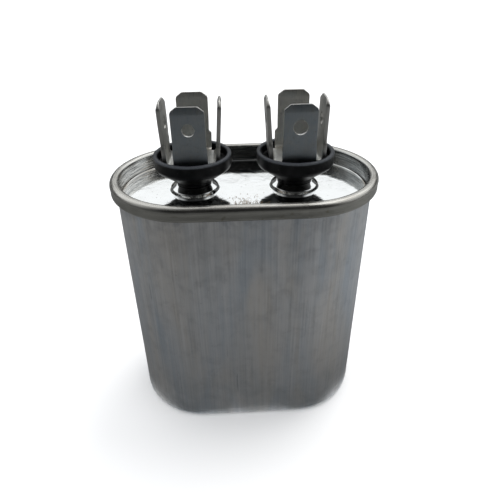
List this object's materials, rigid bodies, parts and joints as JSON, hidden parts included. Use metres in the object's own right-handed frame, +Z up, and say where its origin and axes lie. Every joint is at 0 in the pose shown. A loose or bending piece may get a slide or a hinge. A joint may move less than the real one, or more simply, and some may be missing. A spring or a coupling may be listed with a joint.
{
  "type": "motor run capacitor",
  "caption": "Oval metal-can motor run capacitor with a recessed, seamed cover and cup-insulated terminals carrying upright push-on blades.",
  "frame": {"origin": "middle of the can's flat underside", "axes": "+Z up through the terminals, +X along the long side of the oval can, +Y towards the back"},
  "size_m": [0.0548, 0.0334, 0.0719],
  "materials": {
    "can_aluminium": "drawn, satin",
    "cover_tinplate": "bright tinned sheet",
    "compound": "matt",
    "cup_black": "satin moulding",
    "tab_steel": "tin plated, dulled",
    "rivet_steel": "tin plated",
    "gasket_rubber": "matt",
    "washer_laminate": "phenolic laminate",
    "lug_brass": "tinned",
    "plate_plastic": "moulded",
    "roll_film": "metallised film edges",
    "end_zinc": "sprayed, rough",
    "wrap_film": "clear film, several turns",
    "pad_board": "pressboard",
    "lead_copper": "tinned strip",
    "sleeve_plastic": "woven sleeve"
  },
  "bodies": {
    "root": {"can": "can_aluminium", "cover": "cover_tinplate", "seam_compound": "compound", "left_cup": "cup_black", "right_cup": "cup_black", "left_tab_terminal": "tab_steel", "right_tab_terminal": "tab_steel", "left_rivet": "rivet_steel", "right_rivet": "rivet_steel", "left_gasket": "gasket_rubber", "right_gasket": "gasket_rubber", "left_insulating_washer": "washer_laminate", "right_insulating_washer": "washer_laminate", "left_solder_lug": "lug_brass", "right_solder_lug": "lug_brass", "disconnect_plate": "plate_plastic", "film_winding": "roll_film", "top_end_metal": "end_zinc", "bottom_end_metal": "end_zinc", "winding_wrap": "wrap_film", "bottom_insulator": "pad_board", "left_lead": "lead_copper", "right_lead": "lead_copper", "lead_sleeve": "sleeve_plastic"}
  },
  "joints": []
}
